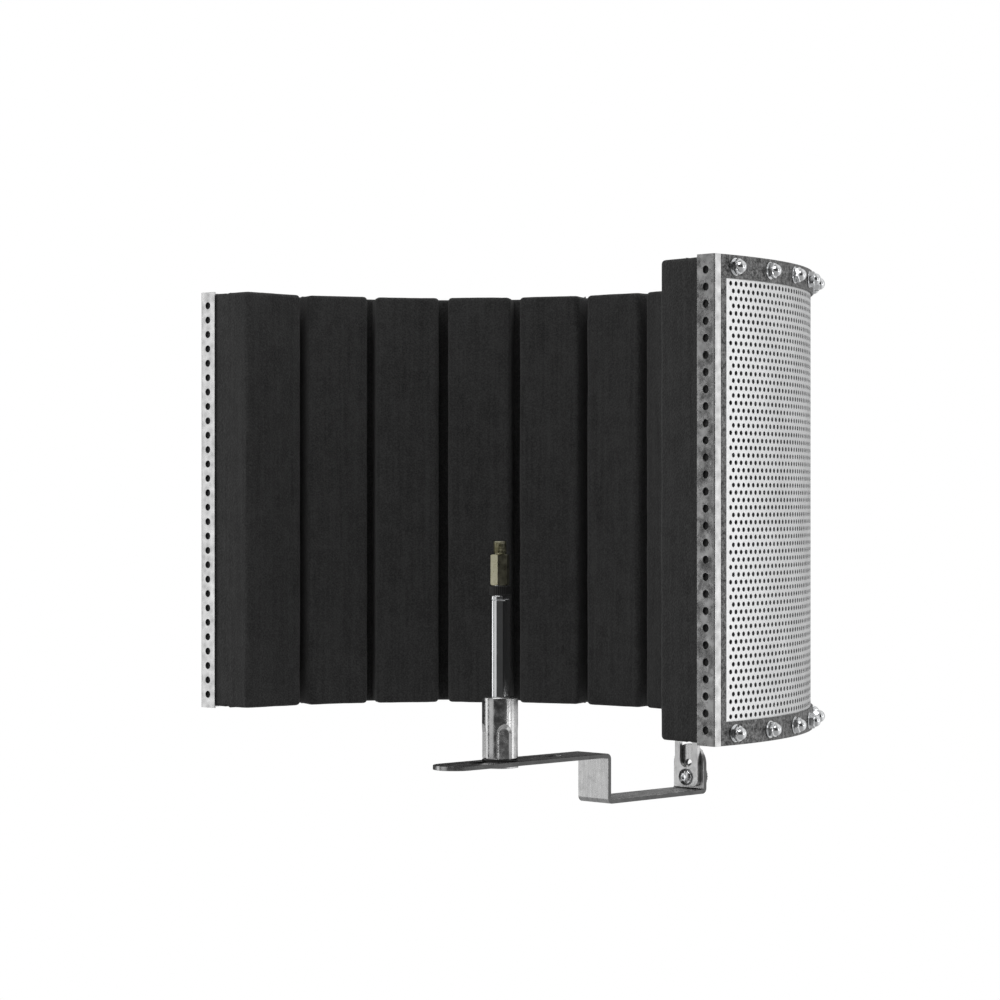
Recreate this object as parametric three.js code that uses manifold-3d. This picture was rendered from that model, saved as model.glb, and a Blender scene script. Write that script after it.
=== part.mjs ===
// Microphone isolation shield: a curved, foam-lined metal screen on a Z-shaped flat bar that clamps
// to the top of a microphone stand. Millimetres, +Z up, origin on the stand's axis at the face that
// the stand's collar meets. The screen opens towards -Y and its back is towards +Y.

import * as THREE from 'three';
import { mergeVertices } from 'three/addons/utils/BufferGeometryUtils.js';
import Module from 'manifold-3d';

const wasm = await Module();
wasm.setup();

// ---- driving dimensions -------------------------------------------------------------------------

const GAP = 0.3; // clearance kept between touching pieces

const SHIELD_HEIGHT = 300;
const SHIELD_ARC = THREE.MathUtils.degToRad(185);
const SHIELD_BASE_Z = 32; // bottom edge of the screen above the stand's collar
const STAND_SETBACK = 51; // the stand's axis lies this far behind the screen's arc centre
const SHEET_OUTER_RADIUS = 242;
const SHEET_THICKNESS = 1.2;
const ARC_SEGMENTS = 60;

const STRIP_HEIGHT = 14.5;
const SIDE_STRIP_WIDTH = 5;
const CHANNEL_FLANGE = 14.5;
const CHANNEL_LEG = 6;
const CHANNEL_BEND_RADIUS = 1.1;
const CHANNEL_HOLES = 28;
const CHANNEL_HOLE_RADIUS = 2.5;
const CHANNEL_HOLE_PITCH = 10.4;

const FOAM_INNER_RADIUS = 194;
const FOAM_ROOT_RADIUS = 219;
const FOAM_INSET = 1; // how far the foam stops short of the metal's top and bottom edges
const PAD_COUNT = 12;
const PAD_WIDTH = 47;
const PAD_CORNER = 4;

const BAR_WIDTH = 29;
const BAR_THICKNESS = 3;
const BAR_FRONT_Y = -58;
const BAR_STEP_Y = 95;
const BAR_DROP = 32.5;
const BAR_BEND_RADIUS = 4;
const BAR_SLOT_WIDTH = 10.5;
const BAR_SLOT_FRONT_Y = -48;
const BAR_SLOT_REAR_Y = 60;

const UPRIGHT_WIDTH = 22;
const UPRIGHT_THICKNESS = 3;
const UPRIGHT_BOTTOM_Z = -26;
const UPRIGHT_TOP_Z = 220;
const UPRIGHT_SLOT_WIDTH = 11.5;
const UPRIGHT_SLOT_BOTTOM_Z = -12.5;
const UPRIGHT_SLOT_TOP_Z = 210;
const CLAMP_BOLT_Z = -19.5;
const BOLT_RADIUS = 3;
const BOLT_HOLE_RADIUS = 3.3;

const STUD_PLATE_HEIGHT = 40;
const STUD_PLATE_THICKNESS = 1.2;
const STUD_SHOULDER_RADIUS = 5.45;
const STUD_HEIGHTS = { lower: 72, upper: 172 };

const THUMB_NUT_RADIUS = 10;
const THUMB_NUT_DEPTH = 9;
const THUMB_NUT_FLUTES = 18;
const NUT_WASHER_RADIUS = 8;
const NUT_WASHER_THICKNESS = 1.2;

const STAND_STUD_CLEARANCE = 5; // radius of the way through for the stand's threaded stud
const STAND_WASHER_RADIUS = 12.5;
const STAND_WASHER_THICKNESS = 1.2;
const SWIVEL_WASHER_THICKNESS = 1;
const HUB_RADIUS = 12.3;
const HUB_HEIGHT = 42;
const HUB_STUD_DEPTH = 20;
const HUB_ROD_DEPTH = 14;
const HUB_FLAT_DISTANCE = 10.6;
const HUB_FLAT_WIDTH = 12.4;
const HUB_FLAT_HEIGHT = 23;
const HUB_FLAT_TURN = THREE.MathUtils.degToRad(-30);

const ROD_RADIUS = 6.7;
const ROD_TOP_Z = 117;
const ROD_NECK_RADIUS = 4.2;
const LOCK_RING_RADIUS = 7.3;
const LOCK_RING_HEIGHT = 6.4;
const COUPLER_ACROSS_FLATS = 11.5;
const COUPLER_HEIGHT = 21;
const COUPLER_STUD_RADIUS = 4.7;
const COUPLER_STUD_HEIGHT = 9;

// ---- derived places -----------------------------------------------------------------------------

const HALF_ARC = SHIELD_ARC / 2;
const SHEET_INNER_RADIUS = SHEET_OUTER_RADIUS - SHEET_THICKNESS;
const STRIP_INNER_RADIUS = SHEET_OUTER_RADIUS + GAP;
const STRIP_OUTER_RADIUS = STRIP_INNER_RADIUS + SHEET_THICKNESS;
const PAD_PITCH = SHIELD_ARC / PAD_COUNT;
const BACK_OF_SHEET_Y = SHEET_OUTER_RADIUS - STAND_SETBACK;
const STUD_PLATE_Y = BACK_OF_SHEET_Y + GAP;
const UPRIGHT_Y = STUD_PLATE_Y + STUD_PLATE_THICKNESS + GAP;
const TAB_Y = UPRIGHT_Y + UPRIGHT_THICKNESS + GAP;
const BAR_BOTTOM_Z = STAND_WASHER_THICKNESS + GAP;
const BAR_TOP_Z = BAR_BOTTOM_Z + BAR_THICKNESS;
const LOWER_RUN_BOTTOM_Z = BAR_BOTTOM_Z - BAR_DROP;
const SWIVEL_WASHER_Z = BAR_TOP_Z + GAP;
const HUB_Z = SWIVEL_WASHER_Z + SWIVEL_WASHER_THICKNESS + GAP;
const ROD_BOTTOM_Z = HUB_Z + HUB_HEIGHT - HUB_ROD_DEPTH + GAP;
const LOCK_RING_Z = ROD_TOP_Z + GAP;
const COUPLER_Z = LOCK_RING_Z + LOCK_RING_HEIGHT + GAP;

// ---- materials ----------------------------------------------------------------------------------

const finish = (color, roughness, metalness) => new THREE.MeshStandardMaterial({ color, roughness, metalness });
const BARE_SHEET = finish(0xc9cacc, 0.35, 1);
const DARK_COAT = finish(0x4b4c4e, 0.65, 0.3);
const CHANNEL_COAT = finish(0x8d8e90, 0.45, 0.8);
const FOAM = finish(0x2b2b2c, 0.95, 0);
const PLATED_STEEL = finish(0xb9babc, 0.3, 1);
const CHROME = finish(0xd8dadd, 0.08, 1);
const WARM_NICKEL = finish(0xa9a68e, 0.3, 1);
const BLACK_PLASTIC = finish(0x1b1b1c, 0.5, 0);
const DARK_STEEL = finish(0x55575a, 0.4, 0.9);

// ---- geometry helpers ---------------------------------------------------------------------------

/** A closed three.js geometry as a manifold solid. */
function toSolid(geometry) {
  const bare = geometry.clone();
  bare.deleteAttribute('normal');
  bare.deleteAttribute('uv');
  const merged = mergeVertices(bare, 1e-4);
  return new wasm.Manifold(new wasm.Mesh({
    numProp: 3,
    vertProperties: new Float32Array(merged.attributes.position.array),
    triVerts: new Uint32Array(merged.index.array),
  }));
}

/** A manifold solid as a three.js geometry. */
function toGeometry(solid) {
  const mesh = solid.getMesh();
  const geometry = new THREE.BufferGeometry();
  geometry.setAttribute('position', new THREE.BufferAttribute(mesh.vertProperties, 3));
  geometry.setIndex(new THREE.BufferAttribute(mesh.triVerts, 1));
  geometry.computeVertexNormals();
  return geometry;
}

/** The body with every cutter taken out of it. */
function cut(body, cutters) {
  const solid = cutters.reduce((left, cutter) => left.subtract(toSolid(cutter)), toSolid(body));
  return toGeometry(solid);
}

/** The bodies joined into one. */
function join(bodies) {
  const solid = bodies.map(toSolid).reduce((left, right) => left.add(right));
  return toGeometry(solid);
}

/** A plan outline raised from z = 0 to the height. */
function raise(shape, height, curveSegments = 6) {
  return new THREE.ExtrudeGeometry(shape, { depth: height, bevelEnabled: false, curveSegments });
}

/** A profile of [radius, height] points turned about the Z axis. */
function turn(profile, segments = 24) {
  const points = profile.map(([radius, height]) => new THREE.Vector2(radius, height));
  return new THREE.LatheGeometry(points, segments).rotateX(Math.PI / 2);
}

/** A cylinder along Z, from z = 0 up. */
function rodAlongZ(radius, height, segments = 24) {
  return new THREE.CylinderGeometry(radius, radius, height, segments).rotateX(Math.PI / 2).translate(0, 0, height / 2);
}

/** A flat ring lying on z = 0. */
function ringAlongZ(radius, boreRadius, height, segments = 24) {
  const shape = new THREE.Shape().absarc(0, 0, radius, 0, 2 * Math.PI);
  shape.holes.push(new THREE.Path().absarc(0, 0, boreRadius, 0, 2 * Math.PI));
  return raise(shape, height, segments / 2);
}

/** A slot outline along the plan's Y axis, round at both ends. */
function slotOutline(width, lowY, highY) {
  const radius = width / 2;
  const shape = new THREE.Shape();
  shape.absarc(0, highY - radius, radius, 0, Math.PI);
  shape.absarc(0, lowY + radius, radius, Math.PI, 2 * Math.PI);
  shape.closePath();
  return shape;
}

/** Turns a body made along Z so that its height runs along +Y. */
const alongY = (geometry) => geometry.rotateX(-Math.PI / 2);

/** A wall of constant thickness round the screen's arc, standing on z = 0. */
function arcWall(innerRadius, outerRadius, halfAngle, height, segments = ARC_SEGMENTS) {
  const outline = [];
  for (let i = 0; i <= segments; i += 1) {
    const angle = halfAngle * (1 - (2 * i) / segments);
    outline.push(new THREE.Vector2(outerRadius * Math.sin(angle), outerRadius * Math.cos(angle)));
  }
  for (let i = segments; i >= 0; i -= 1) {
    const angle = halfAngle * (1 - (2 * i) / segments);
    outline.push(new THREE.Vector2(innerRadius * Math.sin(angle), innerRadius * Math.cos(angle)));
  }
  return raise(new THREE.Shape(outline), height);
}

/** The angle that an arc length spans at a radius. */
const spans = (length, radius) => length / radius;

const part = new THREE.Group();
const screen = new THREE.Group();
screen.position.set(0, -STAND_SETBACK, SHIELD_BASE_Z);
part.add(screen);

/** Adds one named piece to a group at a place. */
function addPiece(group, name, geometry, material, place = [0, 0, 0], turnZ = 0) {
  const mesh = new THREE.Mesh(geometry, material);
  mesh.name = name;
  mesh.position.set(...place);
  mesh.rotation.z = turnZ;
  group.add(mesh);
}

// ---- screen: sheet, edge strips and end channels ------------------------------------------------

function addSheetAndStrips() {
  const sheetHalfArc = HALF_ARC - spans(SHEET_THICKNESS + GAP, SHEET_OUTER_RADIUS);
  const stripHalfArc = HALF_ARC - spans(CHANNEL_LEG + GAP, STRIP_INNER_RADIUS);
  const sheet = arcWall(SHEET_INNER_RADIUS, SHEET_OUTER_RADIUS, sheetHalfArc, SHIELD_HEIGHT);
  addPiece(screen, 'perforated_shell', sheet, BARE_SHEET);
  const strip = arcWall(STRIP_INNER_RADIUS, STRIP_OUTER_RADIUS, stripHalfArc, STRIP_HEIGHT);
  addPiece(screen, 'bottom_edge_strip', strip, DARK_COAT);
  addPiece(screen, 'top_edge_strip', strip.clone(), DARK_COAT, [0, 0, SHIELD_HEIGHT - STRIP_HEIGHT]);
}

/** The upright strip beside an end channel, between the top and bottom strips. */
function addSideStrip(name, side) {
  const halfWidth = spans(SIDE_STRIP_WIDTH / 2, STRIP_INNER_RADIUS);
  const middle = HALF_ARC - spans(CHANNEL_LEG + GAP, STRIP_INNER_RADIUS) - halfWidth;
  const lift = STRIP_HEIGHT + GAP;
  const strip = arcWall(STRIP_INNER_RADIUS, STRIP_OUTER_RADIUS, halfWidth, SHIELD_HEIGHT - 2 * lift, 4);
  addPiece(screen, name, strip, DARK_COAT, [0, 0, lift], -side * middle);
}

/** The L-shaped section of the end channel at side +1 or -1, its flange along the end plane. */
function channelOutline(side) {
  const shape = new THREE.Shape();
  const bend = CHANNEL_BEND_RADIUS;
  const start = side > 0 ? 0 : Math.PI;
  shape.moveTo(0, STRIP_OUTER_RADIUS - CHANNEL_FLANGE);
  shape.lineTo(0, STRIP_OUTER_RADIUS - bend);
  shape.absarc(-side * bend, STRIP_OUTER_RADIUS - bend, bend, start, Math.PI / 2, side < 0);
  shape.lineTo(-side * CHANNEL_LEG, STRIP_OUTER_RADIUS);
  shape.lineTo(-side * CHANNEL_LEG, STRIP_INNER_RADIUS);
  shape.lineTo(-side * SHEET_THICKNESS, STRIP_INNER_RADIUS);
  shape.lineTo(-side * SHEET_THICKNESS, STRIP_OUTER_RADIUS - CHANNEL_FLANGE);
  shape.closePath();
  return shape;
}

function addEndChannel(name, side) {
  const body = raise(channelOutline(side), SHIELD_HEIGHT, 4);
  const firstHoleZ = (SHIELD_HEIGHT - (CHANNEL_HOLES - 1) * CHANNEL_HOLE_PITCH) / 2;
  const holeRadial = STRIP_OUTER_RADIUS - CHANNEL_FLANGE / 2;
  const holes = [];
  for (let i = 0; i < CHANNEL_HOLES; i += 1) {
    const hole = new THREE.CylinderGeometry(CHANNEL_HOLE_RADIUS, CHANNEL_HOLE_RADIUS, 4, 10);
    hole.rotateZ(Math.PI / 2);
    hole.translate(0, holeRadial, firstHoleZ + i * CHANNEL_HOLE_PITCH);
    holes.push(hole);
  }
  addPiece(screen, name, cut(body, holes), CHANNEL_COAT, [0, 0, 0], -side * HALF_ARC);
}

// ---- screen: foam lining ------------------------------------------------------------------------

function addFoamBacking() {
  const halfArc = HALF_ARC - spans(SHEET_THICKNESS + GAP, STRIP_OUTER_RADIUS - CHANNEL_FLANGE);
  const backing = arcWall(FOAM_ROOT_RADIUS, SHEET_INNER_RADIUS - GAP, halfArc, SHIELD_HEIGHT - 2 * FOAM_INSET);
  addPiece(screen, 'foam_backing', backing, FOAM, [0, 0, FOAM_INSET]);
}

/** The plan of one pad, radial outwards along +Y. An end side reaches the screen's end plane. */
function padOutline(endSide) {
  const backRadius = FOAM_ROOT_RADIUS - GAP;
  const corner = PAD_CORNER;
  const slant = PAD_PITCH / 2 - spans(SHEET_THICKNESS + GAP, STRIP_OUTER_RADIUS - CHANNEL_FLANGE);
  const sideX = (side, y) => (side === endSide ? side * y * Math.tan(slant) : (side * PAD_WIDTH) / 2);
  const backAngle = (side) => (side === endSide ? side * slant : side * Math.asin(PAD_WIDTH / 2 / backRadius));
  const shape = new THREE.Shape();
  shape.moveTo(sideX(-1, FOAM_INNER_RADIUS) + corner, FOAM_INNER_RADIUS);
  shape.lineTo(sideX(1, FOAM_INNER_RADIUS) - corner, FOAM_INNER_RADIUS);
  shape.quadraticCurveTo(
    sideX(1, FOAM_INNER_RADIUS), FOAM_INNER_RADIUS,
    sideX(1, FOAM_INNER_RADIUS + corner), FOAM_INNER_RADIUS + corner,
  );
  shape.absarc(0, 0, backRadius, Math.PI / 2 - backAngle(1), Math.PI / 2 - backAngle(-1));
  shape.lineTo(sideX(-1, FOAM_INNER_RADIUS + corner), FOAM_INNER_RADIUS + corner);
  shape.quadraticCurveTo(
    sideX(-1, FOAM_INNER_RADIUS), FOAM_INNER_RADIUS,
    sideX(-1, FOAM_INNER_RADIUS) + corner, FOAM_INNER_RADIUS,
  );
  return shape;
}

function addFoamPads() {
  for (let i = 0; i < PAD_COUNT; i += 1) {
    const angle = -HALF_ARC + (i + 0.5) * PAD_PITCH;
    const endSide = i === 0 ? -1 : Number(i === PAD_COUNT - 1);
    const pad = raise(padOutline(endSide), SHIELD_HEIGHT - 2 * FOAM_INSET, 3);
    addPiece(screen, `foam_pad_${String(i + 1).padStart(2, '0')}`, pad, FOAM, [0, 0, FOAM_INSET], -angle);
  }
}

// ---- screen: studs that slide in the upright's slot ---------------------------------------------

/** A thumb nut with a fluted rim, its bore along +Y, starting at y = 0. */
function thumbNut() {
  const rim = new THREE.Shape();
  const points = 2 * THUMB_NUT_FLUTES;
  for (let i = 0; i < points; i += 1) {
    const angle = (i / points) * 2 * Math.PI;
    const radius = THUMB_NUT_RADIUS - (i % 2) * 0.7;
    const place = [radius * Math.cos(angle), radius * Math.sin(angle)];
    if (i === 0) {
      rim.moveTo(...place);
    } else {
      rim.lineTo(...place);
    }
  }
  rim.closePath();
  const collar = rodAlongZ(THUMB_NUT_RADIUS * 0.62, THUMB_NUT_DEPTH, 18);
  const fluted = raise(rim, THUMB_NUT_DEPTH * 0.6);
  const bore = rodAlongZ(BOLT_HOLE_RADIUS, THUMB_NUT_DEPTH + 2, 16).translate(0, 0, -1);
  return alongY(cut(join([fluted, collar]), [bore]));
}

const nutWasher = () => alongY(ringAlongZ(NUT_WASHER_RADIUS, BOLT_HOLE_RADIUS, NUT_WASHER_THICKNESS));

function addHeightStud(name, heightZ) {
  const plate = new THREE.BoxGeometry(UPRIGHT_WIDTH, STUD_PLATE_THICKNESS, STUD_PLATE_HEIGHT);
  plate.translate(0, STUD_PLATE_THICKNESS / 2, 0);
  const shoulderEnd = STUD_PLATE_THICKNESS + UPRIGHT_THICKNESS;
  const studEnd = shoulderEnd + 2 * GAP + NUT_WASHER_THICKNESS + GAP + THUMB_NUT_DEPTH + 2;
  const shoulder = alongY(rodAlongZ(STUD_SHOULDER_RADIUS, shoulderEnd - 0.5, 20)).translate(0, 0.5, 0);
  const thread = alongY(rodAlongZ(BOLT_RADIUS, studEnd - 0.5, 16)).translate(0, 0.5, 0);
  const washerY = UPRIGHT_Y + UPRIGHT_THICKNESS + GAP;
  const nutY = washerY + NUT_WASHER_THICKNESS + GAP;
  addPiece(part, `stud_plate_${name}`, join([plate, shoulder, thread]), PLATED_STEEL, [0, STUD_PLATE_Y, heightZ]);
  addPiece(part, `height_washer_${name}`, nutWasher(), PLATED_STEEL, [0, washerY, heightZ]);
  addPiece(part, `height_nut_${name}`, thumbNut(), DARK_STEEL, [0, nutY, heightZ]);
}

// ---- arm: Z bar, slotted upright and their clamp ------------------------------------------------

/** The bar's side view with y along the plan's X and z along its Y, every bend rounded. */
function barOutline() {
  const t = BAR_THICKNESS;
  const outer = BAR_BEND_RADIUS;
  const inner = BAR_BEND_RADIUS - BAR_THICKNESS;
  const webFront = BAR_STEP_Y - t / 2;
  const webRear = BAR_STEP_Y + t / 2;
  const low = LOWER_RUN_BOTTOM_Z;
  const tabTop = CLAMP_BOLT_Z + BAR_WIDTH / 2;
  const quarter = Math.PI / 2;
  const shape = new THREE.Shape();
  shape.moveTo(BAR_FRONT_Y, BAR_BOTTOM_Z);
  shape.absarc(webFront - inner, BAR_BOTTOM_Z - inner, inner, quarter, 0, true);
  shape.absarc(webFront + outer, low + outer, outer, 2 * quarter, 3 * quarter);
  shape.absarc(TAB_Y + t - outer, low + outer, outer, -quarter, 0);
  shape.lineTo(TAB_Y + t, tabTop);
  shape.lineTo(TAB_Y, tabTop);
  shape.absarc(TAB_Y - inner, low + t + inner, inner, 0, -quarter, true);
  shape.absarc(webRear + inner, low + t + inner, inner, 3 * quarter, 2 * quarter, true);
  shape.absarc(webRear - outer, BAR_TOP_Z - outer, outer, 0, quarter);
  shape.lineTo(BAR_FRONT_Y, BAR_TOP_Z);
  shape.closePath();
  return shape;
}

/** What is left outside a half-round end: a block with the round taken out. */
function roundEndCutter(radius, reach, depth) {
  const shape = new THREE.Shape();
  shape.moveTo(-radius - reach, 0);
  shape.lineTo(-radius, 0);
  shape.absarc(0, 0, radius, Math.PI, 0, true);
  shape.lineTo(radius + reach, 0);
  shape.lineTo(radius + reach, radius + reach);
  shape.lineTo(-radius - reach, radius + reach);
  shape.closePath();
  return raise(shape, depth, 8);
}

function addBar() {
  // The outline's extrusion direction becomes +X, its X becomes +Y and its Y becomes +Z.
  const body = raise(barOutline(), BAR_WIDTH, 3);
  body.rotateX(Math.PI / 2);
  body.rotateZ(Math.PI / 2);
  body.translate(-BAR_WIDTH / 2, 0, 0);
  const slot = raise(slotOutline(BAR_SLOT_WIDTH, BAR_SLOT_FRONT_Y, BAR_SLOT_REAR_Y), 10);
  slot.translate(0, 0, BAR_BOTTOM_Z - 3);
  const tabRound = roundEndCutter(BAR_WIDTH / 2, 2, 12).rotateX(Math.PI / 2);
  tabRound.translate(0, TAB_Y + BAR_THICKNESS + 4, CLAMP_BOLT_Z);
  const boltHole = alongY(rodAlongZ(BOLT_HOLE_RADIUS, 12, 16)).translate(0, TAB_Y - 4, CLAMP_BOLT_Z);
  const noseRadius = BAR_WIDTH / 2;
  const nose = roundEndCutter(noseRadius, 2, 10).rotateZ(Math.PI);
  nose.translate(0, BAR_FRONT_Y + noseRadius, BAR_BOTTOM_Z - 3);
  addPiece(part, 'z_bar', cut(body, [slot, tabRound, boltHole, nose]), PLATED_STEEL);
}

function addUpright() {
  const height = UPRIGHT_TOP_Z - UPRIGHT_BOTTOM_Z;
  const plan = new THREE.Shape();
  const half = UPRIGHT_WIDTH / 2;
  const corner = 4;
  plan.moveTo(-half + corner, 0);
  plan.lineTo(half - corner, 0);
  plan.absarc(half - corner, corner, corner, -Math.PI / 2, 0);
  plan.absarc(0, height - half, half, 0, Math.PI);
  plan.absarc(-half + corner, corner, corner, Math.PI, 1.5 * Math.PI);
  const slot = slotOutline(
    UPRIGHT_SLOT_WIDTH,
    UPRIGHT_SLOT_BOTTOM_Z - UPRIGHT_BOTTOM_Z,
    UPRIGHT_SLOT_TOP_Z - UPRIGHT_BOTTOM_Z,
  );
  const bolt = new THREE.Path().absarc(0, CLAMP_BOLT_Z - UPRIGHT_BOTTOM_Z, BOLT_HOLE_RADIUS, 0, 2 * Math.PI);
  plan.holes.push(slot, bolt);
  // The plan's Y becomes +Z, and the extrusion runs towards -Y from the plate's back face.
  const plate = raise(plan, UPRIGHT_THICKNESS, 8).rotateX(Math.PI / 2);
  addPiece(part, 'slotted_upright', plate, PLATED_STEEL, [0, UPRIGHT_Y + UPRIGHT_THICKNESS, UPRIGHT_BOTTOM_Z]);
}

function addClamp() {
  const headRadius = 6;
  const headDepth = 2.6;
  const washerY = TAB_Y + BAR_THICKNESS + GAP;
  const nutY = washerY + NUT_WASHER_THICKNESS + GAP;
  const boltLength = nutY + THUMB_NUT_DEPTH + 2 - UPRIGHT_Y + GAP;
  const bolt = alongY(turn([
    [0, -headDepth],
    [headRadius * 0.55, -headDepth * 0.92],
    [headRadius * 0.88, -headDepth * 0.6],
    [headRadius, 0],
    [BOLT_RADIUS, 0],
    [BOLT_RADIUS, boltLength],
    [0, boltLength],
  ]));
  addPiece(part, 'clamp_bolt', bolt, CHROME, [0, UPRIGHT_Y - GAP, CLAMP_BOLT_Z]);
  addPiece(part, 'clamp_washer', nutWasher(), PLATED_STEEL, [0, washerY, CLAMP_BOLT_Z]);
  addPiece(part, 'clamp_nut', thumbNut(), DARK_STEEL, [0, nutY, CLAMP_BOLT_Z]);
}

// ---- stand fitting: washers, hub and riser ------------------------------------------------------

/** The hub's wrench flat: an upright slab with an arched top, outside the flat's distance. */
function hubFlatCutter(angle) {
  const half = HUB_FLAT_WIDTH / 2;
  const shape = new THREE.Shape();
  shape.moveTo(-half, -1);
  shape.lineTo(half, -1);
  shape.absarc(0, HUB_FLAT_HEIGHT - half, half, 0, Math.PI);
  shape.closePath();
  const slab = raise(shape, 6, 8).rotateX(Math.PI / 2);
  slab.translate(0, -HUB_FLAT_DISTANCE, 0);
  return slab.rotateZ(angle + Math.PI / 2);
}

function addHub() {
  const chamfer = 0.8;
  const body = turn([
    [0, HUB_STUD_DEPTH],
    [STAND_STUD_CLEARANCE, HUB_STUD_DEPTH],
    [STAND_STUD_CLEARANCE, 0],
    [HUB_RADIUS - chamfer, 0],
    [HUB_RADIUS, chamfer],
    [HUB_RADIUS, HUB_HEIGHT - chamfer],
    [HUB_RADIUS - chamfer, HUB_HEIGHT],
    [ROD_RADIUS + GAP, HUB_HEIGHT],
    [ROD_RADIUS + GAP, HUB_HEIGHT - HUB_ROD_DEPTH],
    [0, HUB_HEIGHT - HUB_ROD_DEPTH],
  ], 32);
  const flats = [0, 1, 2, 3].map((i) => hubFlatCutter(HUB_FLAT_TURN + (i * Math.PI) / 2));
  addPiece(part, 'stand_hub', cut(body, flats), CHROME, [0, 0, HUB_Z]);
}

function addWashers() {
  const lower = ringAlongZ(STAND_WASHER_RADIUS, STAND_STUD_CLEARANCE, STAND_WASHER_THICKNESS);
  addPiece(part, 'stand_washer', lower, PLATED_STEEL);
  const swivel = ringAlongZ(HUB_RADIUS, STAND_STUD_CLEARANCE, SWIVEL_WASHER_THICKNESS);
  addPiece(part, 'swivel_washer', swivel, BLACK_PLASTIC, [0, 0, SWIVEL_WASHER_Z]);
}

function addRiser() {
  const length = ROD_TOP_Z - ROD_BOTTOM_Z;
  const neck = LOCK_RING_HEIGHT + 2 * GAP + 8;
  const rod = turn([
    [0, 0],
    [ROD_RADIUS, 0],
    [ROD_RADIUS, length - 0.6],
    [ROD_RADIUS - 0.6, length],
    [ROD_NECK_RADIUS, length],
    [ROD_NECK_RADIUS, length + neck],
    [0, length + neck],
  ]);
  addPiece(part, 'riser_rod', rod, CHROME, [0, 0, ROD_BOTTOM_Z]);
  const ring = ringAlongZ(LOCK_RING_RADIUS, ROD_NECK_RADIUS + GAP, LOCK_RING_HEIGHT);
  addPiece(part, 'lock_ring', ring, BLACK_PLASTIC, [0, 0, LOCK_RING_Z]);
}

function addCoupler() {
  const hexRadius = COUPLER_ACROSS_FLATS / 2 / Math.cos(Math.PI / 6);
  const hex = rodAlongZ(hexRadius, COUPLER_HEIGHT, 6);
  const stud = rodAlongZ(COUPLER_STUD_RADIUS, COUPLER_STUD_HEIGHT + 1, 20).translate(0, 0, COUPLER_HEIGHT - 1);
  const bore = rodAlongZ(ROD_NECK_RADIUS + GAP, 11, 20).translate(0, 0, -1);
  addPiece(part, 'mic_coupler', cut(join([hex, stud]), [bore]), WARM_NICKEL, [0, 0, COUPLER_Z]);
}

addSheetAndStrips();
addEndChannel('end_channel_right', 1);
addEndChannel('end_channel_left', -1);
addSideStrip('side_strip_right', 1);
addSideStrip('side_strip_left', -1);
addFoamBacking();
addFoamPads();
Object.entries(STUD_HEIGHTS).forEach(([name, heightZ]) => addHeightStud(name, heightZ));
addBar();
addUpright();
addClamp();
addWashers();
addHub();
addRiser();
addCoupler();

export default part;
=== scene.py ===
"""A half-round microphone isolation shield on its Z-shaped bar, dressed for the studio.

Every length is in metres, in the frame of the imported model: +Z up, the stand's axis along Z, the
screen open towards -Y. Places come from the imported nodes' boxes.
"""

from math import asin, ceil, cos, pi, radians, sin, sqrt, tan

import bmesh
import bpy
from mathutils import Matrix, Vector, noise


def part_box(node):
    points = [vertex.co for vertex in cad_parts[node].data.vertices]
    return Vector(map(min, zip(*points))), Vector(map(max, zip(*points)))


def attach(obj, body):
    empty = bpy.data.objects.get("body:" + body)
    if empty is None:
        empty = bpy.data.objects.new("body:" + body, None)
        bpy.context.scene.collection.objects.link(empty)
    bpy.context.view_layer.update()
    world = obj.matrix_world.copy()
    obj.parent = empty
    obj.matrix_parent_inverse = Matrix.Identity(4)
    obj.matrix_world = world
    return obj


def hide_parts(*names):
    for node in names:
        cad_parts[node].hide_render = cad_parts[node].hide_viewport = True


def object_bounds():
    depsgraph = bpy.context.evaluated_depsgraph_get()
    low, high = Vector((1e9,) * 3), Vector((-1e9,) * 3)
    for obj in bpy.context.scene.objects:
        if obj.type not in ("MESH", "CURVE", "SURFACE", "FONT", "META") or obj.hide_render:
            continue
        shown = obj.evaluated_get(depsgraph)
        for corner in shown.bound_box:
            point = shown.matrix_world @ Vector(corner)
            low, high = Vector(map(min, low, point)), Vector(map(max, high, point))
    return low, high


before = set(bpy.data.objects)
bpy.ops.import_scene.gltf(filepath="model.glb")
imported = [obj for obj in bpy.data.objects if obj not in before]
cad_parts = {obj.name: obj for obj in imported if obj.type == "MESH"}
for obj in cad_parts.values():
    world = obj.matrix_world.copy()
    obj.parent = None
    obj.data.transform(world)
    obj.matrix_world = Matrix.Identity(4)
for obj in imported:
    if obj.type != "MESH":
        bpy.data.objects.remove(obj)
cad_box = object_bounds()

MM = 0.001
UP = Vector((0, 0, 1))

# ---- camera and floor ----

CAMERA_PLACE = Vector((1.393, -1.415, 0.182))
CAMERA_LENS = 105
FLOOR_DROP = 0.34  # the floor lies this far below the lowest piece
FLOOR_RADIUS = 6.0
FLOOR_NEAR = 0.3  # from here out to FLOOR_FAR the floor fades to plain white
FLOOR_FAR = 1.1
FLOOR_GLOW = 0.6  # share of plain white in the floor's middle
FLOOR_TONE = (0.86, 0.86, 0.86, 1)

# ---- sizes that the boxes don't give ----

CLEARANCE = 0.3 * MM  # the gap that touching pieces keep
PLATE_EDGE = 0.3 * MM  # rounding of cut metal edges

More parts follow.
